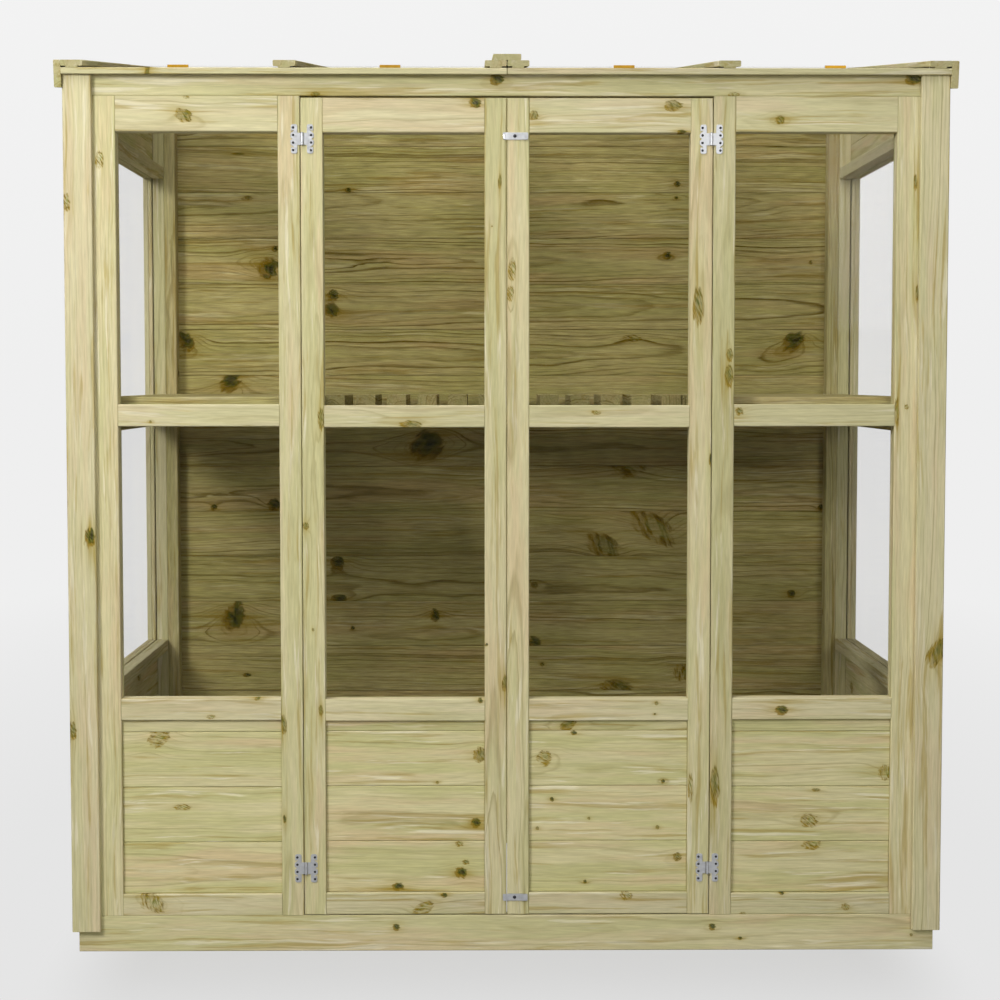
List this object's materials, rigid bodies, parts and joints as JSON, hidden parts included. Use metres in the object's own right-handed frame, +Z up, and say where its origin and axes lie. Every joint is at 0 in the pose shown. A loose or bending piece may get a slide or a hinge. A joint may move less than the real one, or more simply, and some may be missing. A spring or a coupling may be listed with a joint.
{
  "type": "wooden wall greenhouse",
  "caption": "Lean-to wooden greenhouse for a house wall: pent glazed roof, hinged doors between fixed panels, boarded lower walls and back, slatted staging inside.",
  "frame": {"origin": "on the ground, below the middle of the overall box", "axes": "+Z up, +Y towards the house wall behind, +X to the right as seen from the front"},
  "size_m": [1.829, 1.0492, 1.9851],
  "materials": {
    "treated_pine": "planed, pressure treated, unpainted",
    "glazing": "clear, smooth",
    "zinc_steel": "bright zinc plate",
    "yellow_steel": "yellow passivated",
    "screw_steel": "black phosphated"
  },
  "bodies": {
    "frame": {"back_boards": "treated_pine", "back_rails": "treated_pine", "back_stiles": "treated_pine", "barge_boards": "treated_pine", "front_corner_strips": "treated_pine", "front_head_plate": "treated_pine", "glazing_stops": "yellow_steel", "hinge_frame_leaves": "zinc_steel", "hinge_frame_screws": "screw_steel", "hinge_pins": "zinc_steel", "left_panel_boards": "treated_pine", "left_panel_rails": "treated_pine", "left_panel_stiles": "treated_pine", "left_shelf_slats": "treated_pine", "left_side_boards": "treated_pine", "left_side_rails": "treated_pine", "left_side_stiles": "treated_pine", "panel_beads": "treated_pine", "panel_panes": "glazing", "plinth_front": "treated_pine", "plinth_rear": "treated_pine", "plinth_sides": "treated_pine", "rear_shelf_slats": "treated_pine", "right_panel_boards": "treated_pine", "right_panel_rails": "treated_pine", "right_panel_stiles": "treated_pine", "right_shelf_slats": "treated_pine", "right_side_boards": "treated_pine", "right_side_rails": "treated_pine", "right_side_stiles": "treated_pine", "roof_bars": "treated_pine", "roof_caps": "treated_pine", "roof_centre_batten": "treated_pine", "roof_panes": "glazing", "roof_rails": "treated_pine", "roof_spacers": "treated_pine", "shelf_bearers": "treated_pine", "side_beads": "treated_pine", "side_corner_strips": "treated_pine", "side_panes": "glazing", "side_rail_strips": "treated_pine"},
    "left_door": {"left_door_beads": "treated_pine", "left_door_boards": "treated_pine", "left_door_hinge_leaves": "zinc_steel", "left_door_hinge_screws": "screw_steel", "left_door_panes": "glazing", "left_door_rails": "treated_pine", "left_door_stiles": "treated_pine"},
    "right_door": {"right_door_beads": "treated_pine", "right_door_boards": "treated_pine", "right_door_hinge_leaves": "zinc_steel", "right_door_hinge_screws": "screw_steel", "right_door_panes": "glazing", "right_door_rails": "treated_pine", "right_door_stiles": "treated_pine", "turn_button_screws": "screw_steel"},
    "low_turn_button": {"low_turn_button": "zinc_steel"},
    "high_turn_button": {"high_turn_button": "zinc_steel"}
  },
  "joints": [
    {"name": "left_door_hinge", "type": "hinge", "parent": "frame", "child": "left_door", "pos_m": [-0.4163, -0.50065, 0.9235], "axis": [0, 0, -1], "range_deg": [0, 170]},
    {"name": "right_door_hinge", "type": "hinge", "parent": "frame", "child": "right_door", "pos_m": [0.4163, -0.50065, 0.9235], "axis": [0, 0, 1], "range_deg": [0, 170]},
    {"name": "low_button_pivot", "type": "hinge", "parent": "right_door", "child": "low_turn_button", "pos_m": [0.016, -0.4985, 0.113], "axis": [0, 1, 0], "continuous": true},
    {"name": "high_button_pivot", "type": "hinge", "parent": "right_door", "child": "high_turn_button", "pos_m": [0.016, -0.4985, 1.681], "axis": [0, 1, 0], "continuous": true}
  ]
}
